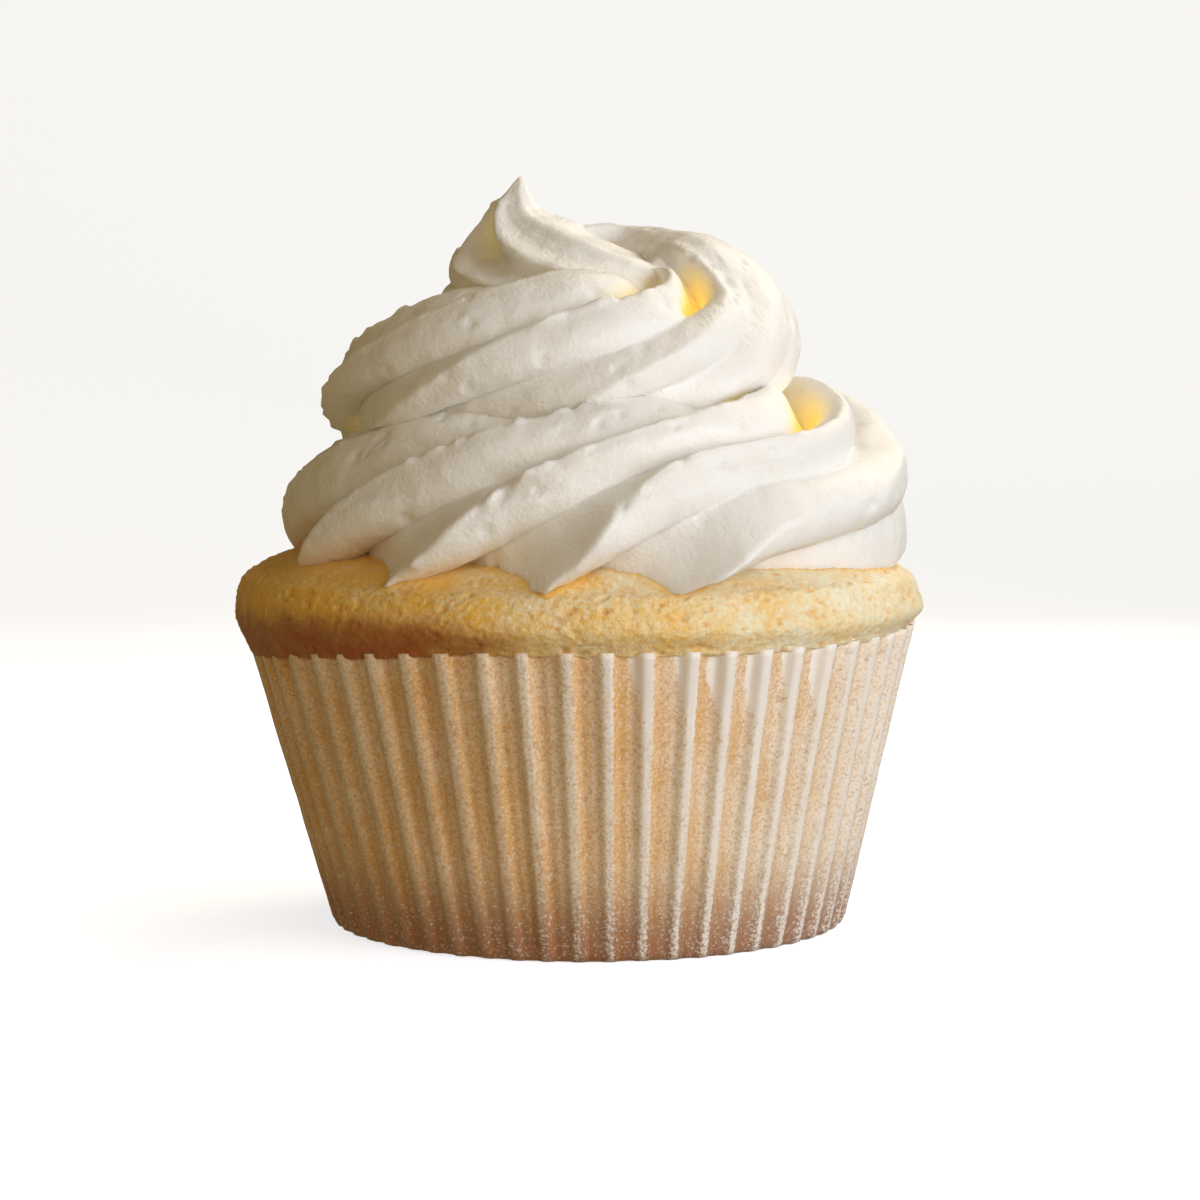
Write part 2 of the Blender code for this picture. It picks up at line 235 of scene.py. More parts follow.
def butterMaterial():
    # whipped buttercream: fat and icing sugar, squeezed through a metal tip. Light soaks in and
    # comes out warmer, and the skin is satin with tiny bubbles. The yellow glow of folds and
    # pockets is painted: a yellow colour and an emission laid on by groove depth
    f = butterFinish
    material, tree, shader = newMaterial("whipped buttercream, piped")
    place = addNode(tree, "ShaderNodeTexCoord").outputs["Object"]
    cloud = addNode(tree, "ShaderNodeTexNoise", {"Scale": perSize(f["cloud"]), "Detail": 3.0}, {"Vector": place})
    tone = addNode(tree, "ShaderNodeMix", {"data_type": "RGBA", 6: hexColour(f["light"]), 7: hexColour(f["warm"])},
                   {0: cloud.outputs["Fac"]})
    paintedGlow = addNode(tree, "ShaderNodeAttribute", {"attribute_name": "paintedGlow"})
    # painted glow: the deeper the groove, the more yellow colour and emission
    deep = addNode(tree, "ShaderNodeMapRange", {"From Min": 0.10, "From Max": 0.6, "To Max": 0.95},
                   {"Value": paintedGlow.outputs["Fac"]})
    colour = addNode(tree, "ShaderNodeMix", {"data_type": "RGBA", 7: hexColour(f["paintedGlow"])},
                     {0: deep.outputs["Result"], 6: tone.outputs[2]})
    grain = addNode(tree, "ShaderNodeTexNoise", {"Scale": perSize(f["grain"]), "Detail": 2.0},
                    {"Vector": place})
    swell = addNode(tree, "ShaderNodeTexNoise", {"Scale": perSize(f["swell"]), "Detail": 2.0}, {"Vector": place})
    bubble = addNode(tree, "ShaderNodeTexVoronoi", {"Scale": perSize(f["bubble"]), "Randomness": 1.0},
                     {"Vector": place})
    dent = addNode(tree, "ShaderNodeMapRange", {"From Min": 0.02, "From Max": 0.2},
                   {"Value": bubble.outputs["Distance"]})
    bumpSwell = addNode(tree, "ShaderNodeBump", {"Strength": 0.25, "Distance": 0.4 * mm},
                        {"Height": swell.outputs["Fac"]})
    bumpBubble = addNode(tree, "ShaderNodeBump", {"Strength": 0.35, "Distance": 0.12 * mm},
                         {"Height": dent.outputs["Result"], "Normal": bumpSwell.outputs["Normal"]})
    bumpGrain = addNode(tree, "ShaderNodeBump", {"Strength": 0.75, "Distance": 0.15 * mm},
                        {"Height": grain.outputs["Fac"], "Normal": bumpBubble.outputs["Normal"]})
    # painted glow: emission that makes the folds shine though no lamp is in them
    through = addNode(tree, "ShaderNodeMix", {"data_type": "RGBA", 6: (0, 0, 0, 1), 7: hexColour(f["paintedGlow"])},
                      {0: deep.outputs["Result"]})
    tree.links.new(colour.outputs[2], shader.inputs["Base Color"])
    tree.links.new(bumpGrain.outputs["Normal"], shader.inputs["Normal"])
    tree.links.new(through.outputs[2], shader.inputs["Emission Color"])
    shader.inputs["Emission Strength"].default_value = f["through"]
    shader.inputs["Roughness"].default_value = f["roughness"]
    shader.inputs["IOR"].default_value = 1.46
    shader.inputs["Subsurface Weight"].default_value = f["glow"]
    shader.inputs["Subsurface Radius"].default_value = (1.0, 0.96, 0.88)
    shader.inputs["Subsurface Scale"].default_value = f["glowReach"] * mm
    return material


spongeFinish = {
    # crumb and gold are mixed by random mottle and by painted light, paler towards the key lamp
    "crumb": "#FFF7DE",
    "gold": "#FFC856",
    "pore": "#F2B44C",
    # browned and scorched tones: real browning on the edge, and painted shade on the side away from the key lamp
    "brownedAndShaded": "#C8944F",
    "scorchedAndShaded": "#B4602A",
    # butter soak and painted contact shade under the frosting's edge
    "soakAndShade": "#FCC456",
    "roughness": 0.36,
    "haze": 0.12,                   # crumb dust that pales the crust where light grazes it
    "cloud": 4.5,                   # sizes in mm: patches of tone,
    "crumbs": 0.55,                 # crumb to crumb,
    "pores": 0.8,                   # open pores,
    "blotch": 2.8,                  # browned patches
    "grain": 0.4,                   # and grain, all coarse so that they show
}


def spongeMaterial():
    # baked vanilla sponge: a thin golden skin over an open crumb, browned where the lip touched
    # the hot tin, so it is matte and grainy with small dark pores. The crust is also painted paler
    # towards the key lamp and browner and darker away from it: painted light and painted shade
    f = spongeFinish
    material, tree, shader = newMaterial("vanilla sponge, baked")
    place = addNode(tree, "ShaderNodeTexCoord").outputs["Object"]
    cloud = addNode(tree, "ShaderNodeTexNoise", {"Scale": perSize(f["cloud"]), "Detail": 4.0}, {"Vector": place})
    crumbs = addNode(tree, "ShaderNodeTexNoise", {"Scale": perSize(f["crumbs"]), "Detail": 3.0, "Roughness": 0.7},
                     {"Vector": place})
    mottle = addNode(tree, "ShaderNodeMath", {"operation": "MULTIPLY_ADD", 1: 1.1},
                     {0: crumbs.outputs["Fac"], 2: cloud.outputs["Fac"]})
    # painted light: the crust paler towards the key lamp and golder away from it
    paintedSideLight = addNode(tree, "ShaderNodeAttribute", {"attribute_name": "paintedSideLight"})
    tint = addNode(tree, "ShaderNodeMath", {"operation": "ADD"},
                   {0: mottle.outputs["Value"], 1: paintedSideLight.outputs["Fac"]})
    tintMask = addNode(tree, "ShaderNodeMapRange", {"From Min": 0.88, "From Max": 1.60},
                       {"Value": tint.outputs["Value"]})
    tone = addNode(tree, "ShaderNodeMix", {"data_type": "RGBA", 6: hexColour(f["crumb"]), 7: hexColour(f["gold"])},
                   {0: tintMask.outputs["Result"]})
    pores = addNode(tree, "ShaderNodeTexNoise", {"Scale": perSize(f["pores"]), "Detail": 3.0, "Roughness": 0.6},
                    {"Vector": place})
    poreMask = addNode(tree, "ShaderNodeMapRange", {"From Min": 0.55, "From Max": 0.70, "To Max": 0.5},
                       {"Value": pores.outputs["Fac"]})
    # the pressed pits are tinted amber by how deep they are
    pitted = addNode(tree, "ShaderNodeAttribute", {"attribute_name": "pitted"})
    poreDepth = addNode(tree, "ShaderNodeMath", {"operation": "MULTIPLY_ADD", 1: 0.5, "use_clamp": True},
                        {0: pitted.outputs["Fac"], 2: poreMask.outputs["Result"]})
    pored = addNode(tree, "ShaderNodeMix", {"data_type": "RGBA", 7: hexColour(f["pore"])},
                    {0: poreDepth.outputs["Value"], 6: tone.outputs[2]})
    brownedAndShaded = addNode(tree, "ShaderNodeAttribute", {"attribute_name": "brownedAndShaded"})
    blotch = addNode(tree, "ShaderNodeTexNoise", {"Scale": perSize(f["blotch"]), "Detail": 4.0, "Roughness": 0.6},
                     {"Vector": place})
    blotched = addNode(tree, "ShaderNodeMath", {"operation": "MULTIPLY", 1: 2.0}, {0: blotch.outputs["Fac"]})
    # real browning mixed with painted shade: brown and scorch come in more on the side away from the key lamp
    heatAndShade = addNode(tree, "ShaderNodeMath", {"operation": "MULTIPLY_ADD", 2: 0.5},
                   {0: brownedAndShaded.outputs["Fac"], 1: blotched.outputs["Value"]})
    brownAndShadeMask = addNode(tree, "ShaderNodeMapRange", {"From Min": 0.65, "From Max": 1.10},
                        {"Value": heatAndShade.outputs["Value"]})
    scorchAndShadeMask = addNode(tree, "ShaderNodeMapRange", {"From Min": 0.86, "From Max": 1.55, "To Max": 0.95},
                         {"Value": heatAndShade.outputs["Value"]})
    brownAndShade = addNode(tree, "ShaderNodeMix", {"data_type": "RGBA", 7: hexColour(f["brownedAndShaded"])},
                    {0: brownAndShadeMask.outputs["Result"], 6: pored.outputs[2]})
    scorchedAndShaded = addNode(tree, "ShaderNodeMix", {"data_type": "RGBA", 7: hexColour(f["scorchedAndShaded"])},
                       {0: scorchAndShadeMask.outputs["Result"], 6: brownAndShade.outputs[2]})
    # butter soak and painted contact shade in a ring under the frosting's edge
    soakAndShade = addNode(tree, "ShaderNodeAttribute", {"attribute_name": "soakAndShade"})
    colour = addNode(tree, "ShaderNodeMix", {"data_type": "RGBA", 7: hexColour(f["soakAndShade"])},
                     {0: soakAndShade.outputs["Fac"], 6: scorchedAndShaded.outputs[2]})
    grain = addNode(tree, "ShaderNodeTexNoise", {"Scale": perSize(f["grain"]), "Detail": 3.0, "Roughness": 0.7},
                    {"Vector": place})
    bumpPore = addNode(tree, "ShaderNodeBump", {"Strength": 0.35, "Distance": 0.25 * mm, "invert": True},
                       {"Height": pores.outputs["Fac"]})
    bumpGrain = addNode(tree, "ShaderNodeBump", {"Strength": 0.75, "Distance": 0.35 * mm},
                        {"Height": grain.outputs["Fac"], "Normal": bumpPore.outputs["Normal"]})
    tree.links.new(colour.outputs[2], shader.inputs["Base Color"])
    tree.links.new(bumpGrain.outputs["Normal"], shader.inputs["Normal"])
    shader.inputs["Roughness"].default_value = f["roughness"]
    shader.inputs["IOR"].default_value = 1.45
    shader.inputs["Sheen Weight"].default_value = f["haze"]
    shader.inputs["Sheen Roughness"].default_value = 0.5
    shader.inputs["Subsurface Weight"].default_value = 0.35
    shader.inputs["Subsurface Radius"].default_value = (1.0, 0.75, 0.4)
    shader.inputs["Subsurface Scale"].default_value = 1.5 * mm
    return material


paperFinish = {
    "dry": "#FFF7F0",
    "clear": "#FFF1D9",
    # butter-soaked gold, also laid on by painted light: less towards the key lamp, more away from it
    "soakedAndSideLight": "#E9B060",
    "foot": "#84442E",
    "spot": "#C07A30",
    "grain": "#C6824E",
    "roughness": 0.48,
    "haze": 0.2,                    # loose fibres that pale the paper where light grazes it
    "cloud": 6.0,                   # sizes in mm: patches of butter,
    "spots": 1.3,                   # darker spots,
    "cockle": 1.6,                  # buckles,
    "fibre": 0.32,                  # fibres
    "frostSize": 0.30,              # and frost, both coarse so that they show
    "footHeight": (11.0, 0.5),      # mm over which the foot darkens
}


def paperMaterial():
    # greaseproof paper: calendered wood pulp, white where it stands clear of the cake and turned
    # clear and golden where butter has soaked it, with a frosty grain on the folds. It is painted
    # paler towards the key lamp as painted light, and darker away from it, partly butter and partly painted shade
    f = paperFinish
    material, tree, shader = newMaterial("greaseproof paper, crimped")
    place = addNode(tree, "ShaderNodeTexCoord").outputs["Object"]
    height = addNode(tree, "ShaderNodeSeparateXYZ", {}, {0: place})
    # butter soak with painted light: paler towards the key lamp, darker away from it
    soakedAndSideLight = addNode(tree, "ShaderNodeAttribute", {"attribute_name": "soakedAndSideLight"})
    dryness = addNode(tree, "ShaderNodeAttribute", {"attribute_name": "dryness"})
    cloud = addNode(tree, "ShaderNodeTexNoise", {"Scale": perSize(f["cloud"]), "Detail": 4.0}, {"Vector": place})
    cloudMask = addNode(tree, "ShaderNodeMapRange",
                        {"From Min": 0.35, "From Max": 0.65, "To Min": -0.12, "To Max": 0.2},
                        {"Value": cloud.outputs["Fac"]})
    soakMask = addNode(tree, "ShaderNodeMath", {"operation": "ADD", "use_clamp": True},
                       {0: soakedAndSideLight.outputs["Fac"], 1: cloudMask.outputs["Result"]})
    golden = addNode(tree, "ShaderNodeMix",
                     {"data_type": "RGBA", 6: hexColour(f["clear"]), 7: hexColour(f["soakedAndSideLight"])},
                     {0: soakMask.outputs["Value"]})
    spot = addNode(tree, "ShaderNodeTexNoise", {"Scale": perSize(f["spots"]), "Detail": 3.0}, {"Vector": place})
    spotMask = addNode(tree, "ShaderNodeMapRange", {"From Min": 0.62, "From Max": 0.74, "To Max": 0.5},
                       {"Value": spot.outputs["Fac"]})
    spotted = addNode(tree, "ShaderNodeMix", {"data_type": "RGBA", 7: hexColour(f["spot"])},
                      {0: spotMask.outputs["Result"], 6: golden.outputs[2]})
    pale, dark = f["footHeight"]
    footMask = addNode(tree, "ShaderNodeMapRange",
                       {"From Min": pale * mm, "From Max": dark * mm, "To Max": 0.80,
                        "interpolation_type": "SMOOTHSTEP"},
                       {"Value": height.outputs["Z"]})
    footed = addNode(tree, "ShaderNodeMix", {"data_type": "RGBA", 7: hexColour(f["foot"])},
                     {0: footMask.outputs["Result"], 6: spotted.outputs[2]})
    fibre = addNode(tree, "ShaderNodeTexNoise", {"Scale": perSize(f["fibre"]), "Detail": 2.0, "Roughness": 0.7},
                    {"Vector": place})
    fibreMask = addNode(tree, "ShaderNodeMapRange", {"From Min": 0.44, "From Max": 0.64, "To Max": 0.5},
                        {"Value": fibre.outputs["Fac"]})
    fibred = addNode(tree, "ShaderNodeMix", {"data_type": "RGBA", 7: hexColour(f["grain"])},
                     {0: fibreMask.outputs["Result"], 6: footed.outputs[2]})
    frost = addNode(tree, "ShaderNodeTexNoise", {"Scale": perSize(f["frostSize"]), "Detail": 2.0, "Roughness": 0.7},
                    {"Vector": place})
    frostyDry = addNode(tree, "ShaderNodeMath", {"operation": "MULTIPLY_ADD", 1: 2.7},
                        {0: frost.outputs["Fac"], 2: dryness.outputs["Fac"]})
    dryMask = addNode(tree, "ShaderNodeMapRange", {"From Min": 1.48, "From Max": 2.15, "To Max": 0.94},
                      {"Value": frostyDry.outputs["Value"]})
    dried = addNode(tree, "ShaderNodeMix", {"data_type": "RGBA", 7: hexColour(f["dry"])},
                    {0: dryMask.outputs["Result"], 6: fibred.outputs[2]})
    cockle = addNode(tree, "ShaderNodeTexNoise", {"Scale": perSize(f["cockle"]), "Detail": 2.0}, {"Vector": place})
    bumpCockle = addNode(tree, "ShaderNodeBump", {"Strength": 0.3, "Distance": 0.25 * mm},
                         {"Height": cockle.outputs["Fac"]})
    bumpFrost = addNode(tree, "ShaderNodeBump", {"Strength": 0.3, "Distance": 0.06 * mm},
                        {"Height": frost.outputs["Fac"], "Normal": bumpCockle.outputs["Normal"]})
    tree.links.new(dried.outputs[2], shader.inputs["Base Color"])
    tree.links.new(bumpFrost.outputs["Normal"], shader.inputs["Normal"])
    shader.inputs["Roughness"].default_value = f["roughness"]
    shader.inputs["IOR"].default_value = 1.48
    shader.inputs["Sheen Weight"].default_value = f["haze"]
    shader.inputs["Sheen Roughness"].default_value = 0.5
    shader.inputs["Subsurface Weight"].default_value = 0.12
    shader.inputs["Subsurface Radius"].default_value = (1.0, 0.65, 0.35)
    shader.inputs["Subsurface Scale"].default_value = 1.2 * mm
    return material


studio = {
    "cameraPlace": (1.1, -286.0, 50.0),
    "cameraDip": 3.62,              # degrees below level
    "lens": 85.8,
    "aim": 0.45,                    # share of the object's height that the lights point at
    "key": {"place": (355, -250, 130), "size": 400, "watts": 1.5, "colour": "#E8F1FF"},
    "fill": {"place": (-60, -430, 80), "size": 400, "watts": 0.24, "colour": "#FFF2DA"},
    "bounce": {"place": (140, -310, 18), "size": 240, "watts": 0.22, "colour": "#FFF6E4"},
    "back": {"place": (150, 190, 270), "size": 300, "watts": 0.6, "colour": "#FFF4DE"},
    "surround": "#7E6C48",
    "floorSize": 1600,
    "sweepHeight": 1400,
    "sweepCurve": 350,
    "floor": "#F8F7F5",
    "floorLight": "#EEF4FC",
    "floorGlow": 0.78,
}


def areaLight(name, light):
    bpy.ops.object.light_add(type="AREA", location=[v * mm for v in light["place"]])
    lamp = bpy.context.object
    lamp.name = name
    lamp.data.shape = "DISK"
    lamp.data.size = light["size"] * mm
    lamp.data.energy = light["watts"]
    lamp.data.color = hexColour(light["colour"])[:3]
    aim = Vector((0, 0, studio["aim"] * cadBox[1][2])) - lamp.location
    lamp.rotation_euler = aim.to_track_quat("-Z", "Y").to_euler()


def setStudio():
    s = studio
    bpy.ops.object.camera_add(location=[v * mm for v in s["cameraPlace"]])
    camera = bpy.context.object
    camera.rotation_euler = (math.radians(90 - s["cameraDip"]), 0, 0)
    camera.data.lens = s["lens"]
    camera.data.sensor_width = 36
    camera.data.clip_start = 0.01
    bpy.context.scene.camera = camera
    for name in ("key", "fill", "bounce", "back"):
        areaLight(name, s[name])
    world = bpy.data.worlds.new("surround")
    world.use_nodes = True
    world.node_tree.nodes["Background"].inputs["Color"].default_value = hexColour(s["surround"])
    bpy.context.scene.world = world
    bpy.context.scene.view_settings.view_transform = "Standard"
    # the floor runs level, then curves up behind as one seamless sheet
    bpy.ops.mesh.primitive_plane_add(size=s["floorSize"] * mm)
    floor = bpy.context.object
    floor.name = "floor"
    bpy.ops.object.mode_set(mode="EDIT")
    bpy.ops.mesh.select_mode(type="EDGE")
    bpy.ops.mesh.select_all(action="DESELECT")
    bpy.ops.object.mode_set(mode="OBJECT")
    for edge in floor.data.edges:
        edge.select = all(floor.data.vertices[k].co.y > 0 for k in edge.vertices)
    bpy.ops.object.mode_set(mode="EDIT")
    bpy.ops.mesh.extrude_region_move(TRANSFORM_OT_translate={"value": (0, 0, s["sweepHeight"] * mm)})
    bpy.ops.object.mode_set(mode="OBJECT")
    curve = floor.modifiers.new("curve", "BEVEL")
    curve.width = s["sweepCurve"] * mm
    curve.segments = 24
    bpy.ops.object.modifier_apply(modifier="curve")
    bpy.ops.object.shade_smooth()
    material, _, shader = newMaterial("matt card, painted")
    shader.inputs["Base Color"].default_value = hexColour(s["floor"])
    shader.inputs["Roughness"].default_value = 0.9
    shader.inputs["Emission Color"].default_value = hexColour(s["floorLight"])
    shader.inputs["Emission Strength"].default_value = s["floorGlow"]
    floor.visible_diffuse = False                  # the bright card throws no light on the cake
    floor.visible_glossy = False
    floor.data.materials.append(material)
    print("studio set")


paperCase = {
    "pleats": 54,
    "pointsPerPleat": 14,
    "firstRidge": 1.4,              # degrees
    "height": caseTop - 1.276,      # mean height of the rim, which tilts and waves about it
    "baseRadius": 25.6,
    "flare": 0.262,
    "corner": 0.6,
    "depthAtBase": 0.40,
    "depthAtRim": 0.85,
    "paper": 0.12,
    "lean": -0.9,
    "rimTilt": 1.0,
    "rimTiltTurn": 0.25,
    "rimWaves": (3, 1.0, 0.35),     # waves round the rim, start, size
    "buckle": (6.0, 0.25),          # size and height of the relief in mm
    "sway": 0.09,                   # how far folds were crimped to one side, as a share of a pleat
    "foldDepth": (0.8, 1.15),       # shallowest and deepest fold
    "flapSize": (0.55, 1.2),        # smallest and largest dry flap
    "seed": 4,
    "baseRings": (0.0, 0.35, 0.7, 0.9),     # rings of the flat base, as shares of its radius
    "footStep": 0.35,               # height of the first ring of the wall, as a share of the corner
    "wallRows": 44,
    "ridgeShare": 0.32,             # share of a pleat that is the raised fold
    "belly": 0.12,                  # how far the paper between folds is pressed out by the cake
    "oilyDepth": 0.35,              # how much shallower the folds are on the oily side
    "drySide": -0.85,               # radians, where the folds stand clear of the cake; away from it the paper is darkened, partly butter and partly painted shade
    "flapSide": -1.12,              # radians, where the rim stands out in dry flaps
    "flapFrom": 0.74,               # share of the wall's height where the flaps start
    "flapReach": 0.75,              # share of a pleat that a flap takes at the rim
    # across a pleat, from the fold, where each look fades out
    "stripe": (0.08, 0.14),         # dry stripe, right of the fold
    "stripeBack": (0.06, 0.15),     # and left of it
    "flank": (0.14, 0.42),          # paler side of the fold
    "soakStart": (0.10, 0.16),      # butter soaked in past the fold
    "soakEnd": (0.32, 0.85),
}


def rimHeight(angle):
    p = paperCase
    tilt = p["rimTilt"] * np.cos(angle + p["rimTiltTurn"])
    waves, start, size = p["rimWaves"]
    return p["height"] + tilt + size * np.sin(waves * angle + start)


def makePaperCase():
    p = paperCase
    columns = p["pleats"] * p["pointsPerPleat"]
    place = np.arange(columns) / p["pointsPerPleat"]
    ridge = np.round(place).astype(int) % p["pleats"]
    fromRidge = place - np.round(place)                      # -0.5 to 0.5, 0 on the fold
    draw = np.random.RandomState(p["seed"])
    sway = draw.uniform(-p["sway"], p["sway"], p["pleats"])[ridge]
    deep = draw.uniform(*p["foldDepth"], p["pleats"])[ridge]
    clear = draw.uniform(*p["flapSize"], p["pleats"])[ridge]
    angle = math.radians(p["firstRidge"]) + turn * place / p["pleats"]
    rim = rimHeight(angle)
    # the folds stand clear of the cake and stay dry, with a crisp edge on their right side
    towardLamp = smoothStep(0.1, 0.9, np.cos(angle))
    limp = 1 - smoothStep(-0.75, 0.1, np.cos(angle - p["drySide"] - 0.35))
    oilyAndShaded = 1 - smoothStep(0.1, 0.95, np.cos(angle - p["drySide"] - 0.35))
    facing = smoothStep(0.91, 0.95, np.cos(angle - p["flapSide"]))
    rows = []
    dryRows = []
    soakRows = []
    flat = p["baseRadius"] - p["corner"]
    for share in p["baseRings"]:
        radius = share * flat
        rows.append(np.stack([radius * np.cos(angle), radius * np.sin(angle), 0 * angle], axis=-1))
        dryRows.append(0 * angle)
        soakRows.append(0 * angle)
    for k, level in enumerate([0.0, *np.linspace(0, 1, p["wallRows"])]):
        height = np.maximum(level * rim, p["footStep"] * p["corner"]) if k else 0 * angle
        foot = np.clip(height / p["corner"], 0, 1)
        inset = p["corner"] * (1 - np.sqrt(1 - (1 - foot) ** 2)) if k else p["corner"]
        rise = height / p["height"]
        depth = deep * (1 - p["oilyDepth"] * limp) * (p["depthAtBase"] + (p["depthAtRim"] - p["depthAtBase"]) * rise)
        offset = fromRidge + sway * (0.35 + 0.65 * rise)
        fold = smoothStep(0.10, 0.5 * p["ridgeShare"] + 0.18, np.abs(offset))
        belly = p["belly"] * np.cos(turn * (np.abs(offset) - 0.5)) * fold
        radius = p["baseRadius"] + p["flare"] * height - inset - depth * (fold - belly * 0.6)
        rows.append(np.stack([p["lean"] * rise + radius * np.cos(angle), radius * np.sin(angle), height], axis=-1))
        level = height / rim
        stripe = 1 - smoothStep(p["stripe"][0] - 0.03 * towardLamp, p["stripe"][1] - 0.04 * towardLamp, offset)
        stripe = stripe * (1 - smoothStep(*p["stripeBack"], -offset))
        flank = (0.32 + 0.18 * towardLamp) * (offset < 0) * (1 - smoothStep(*p["flank"], -offset))
        # painted shade: the dry stripes fade on the side away from the key lamp
        faded = 1 - oilyAndShaded * (0.75 + 0.25 * (1 - smoothStep(0.3, 1.0, level)))
        corner = p["flapReach"] * clear * np.clip((level - p["flapFrom"]) / (1 - p["flapFrom"]), 0, 1)
        flap = facing * (offset < 0.1) * (level > p["flapFrom"])
        flap = flap * (1 - smoothStep(corner - 0.04, corner + 0.04, -offset))
        worn = 0.78 + 0.22 * smoothStep(0.2, 0.9, level)
        dryRows.append(np.maximum(np.maximum(stripe, flank) * faded * worn, 1.2 * flap))
        # butter has soaked the paper on the other side of each fold
        past = offset % 1.0
        soak = smoothStep(*p["soakStart"], past) * (1 - smoothStep(*p["soakEnd"], past))
        # painted light: less soaked gold towards the key lamp; the extra soak away from it is partly butter and
        # partly painted shade
        soakRows.append(0.75 * soak * (1 - 0.6 * towardLamp) * (1 - 0.5 * oilyAndShaded) + 0.28 * oilyAndShaded)
    facts = {"dryness": np.array(dryRows), "soakedAndSideLight": np.array(soakRows)}
    case = wrapSheet("paper_case_crimped", np.array(rows), facts)
    roughen(case, *p["buckle"])
    wall = case.modifiers.new("paper", "SOLIDIFY")
    wall.thickness = p["paper"] * mm
    wall.offset = -1
    bpy.ops.object.modifier_apply(modifier="paper")
    for vertex in case.data.vertices:
        vertex.co.z = max(vertex.co.z, 0)                    # the foot stands flat on the table
    dress(case, "paper_case", paperMaterial())
    print("paper case", len(case.data.polygons))
    return case


cake = {
    "columns": 860,
    "litSide": -0.35,              # radians, the side that faces the key lamp, painted paler as painted light
    "shadedSideGold": 0.84,                  # painted light: how golden the side away from the lamp is made
    "shadeBrownSide": 160,               # degrees, the side away from the key lamp, where browning is laid on more as painted shade
    "edgeBrownAndShade": (0.04, 0.9),       # browning along the edge: all round, and more on that side, where the extra is painted shade
    "edgeReach": (0.6, 3.6, 2.4),   # mm above the rim where it starts to fade, ends, and more on that side
    "topPaintedShade": 0.34,               # painted shade: darkening of the rest of the crust on that side
    "bottom": 0.4,
    "inset": 0.45,                  # mm from the pleats' depth to the cake's side
    "bottomRings": (0.0, 0.5, 0.93),
    "sideRings": (0.08, 0.5, 0.85, 0.97),   # shares of the rim's height
    "lipRadius": 33.0,
    "lipInset": 0.7,                # mm that the crust comes in where it meets the paper
    # crust above the lip: radius, height, share of the rim's tilt, of the swell and of the dip
    "crust": [
        (34.10, 30.8, 0.4, 0.6, 0.0),
        (33.90, 32.6, 0.0, 1.0, 0.0),
        (33.25, 34.7, 0.0, 1.0, 0.6),
        (31.40, 36.1, 0.0, 0.5, 1.0),
        (27.30, 37.6, 0.0, 0.0, 1.0),
        (18.80, 38.8, 0.0, 0.0, 0.6),
        (9.40, 39.6, 0.0, 0.0, 0.2),
    ],
    "top": crustTop,
    "frontDip": 1.3,
    "uneven": 0.17,
    "waves": [(2, 0.6, 1.0), (5, 2.0, 0.6), (9, 0.0, 0.5)],
    "crustRows": 72,
    "smoothRings": 6,               # control rings up to here carry a smooth curve
    "swell": (9.0, 0.5),            # size and height of the relief in mm
    "crumb": (1.2, 0.18),           # the same for the crumb
    "pore": (0.45, 0.30),           # and for its pores
    "ringReach": (0.1, 0.8),        # mm from the frosting where the ring of butter soak and painted contact shade is full, and where it ends
    "pits": {"count": 480, "size": (0.18, 0.55), "depth": (0.10, 0.34), "stretch": 3.0, "upright": 0.1, "seed": 7},
}


def frontDip(angle):
    return cake["frontDip"] * (0.5 - 0.5 * np.sin(angle)) ** 2


def domeHeight(x, y):
    # height of the crust's top under a point, which the frosting rests on
    axis = paperCase["lean"] * 36 / paperCase["height"]
    radius = np.hypot(x - axis, y)
    angle = np.arctan2(y, x - axis)
    rows = [(0.0, cake["top"], 0.0)] + [(r, h, dip) for r, h, _, _, dip in reversed(cake["crust"][2:])]
    radii, heights, dips = np.array(rows).T
    return np.interp(radius, radii, heights) - np.interp(radius, radii, dips) * frontDip(angle)


def soakAndShadeUnder(sponge, frosted):
    # butter soaks into the crust along the edge of the frosting, and the same ring is painted contact shade
    tree = kdtree.KDTree(sum(len(piece.data.vertices) for piece in frosted))
    count = 0
    for piece in frosted:
        for vertex in piece.data.vertices:
            if vertex.co.z < 42 * mm:
                tree.insert(vertex.co, count)
            count += 1
    tree.balance()
    values = []
    for vertex in sponge.data.vertices:
        near = vertex.co.z > 33 * mm
        gap = (tree.find(vertex.co)[2] if near else 1) / mm
        values.append(1 - float(smoothStep(*cake["ringReach"], gap)))
    sponge.data.attributes["soakAndShade"].data.foreach_set("value", values)


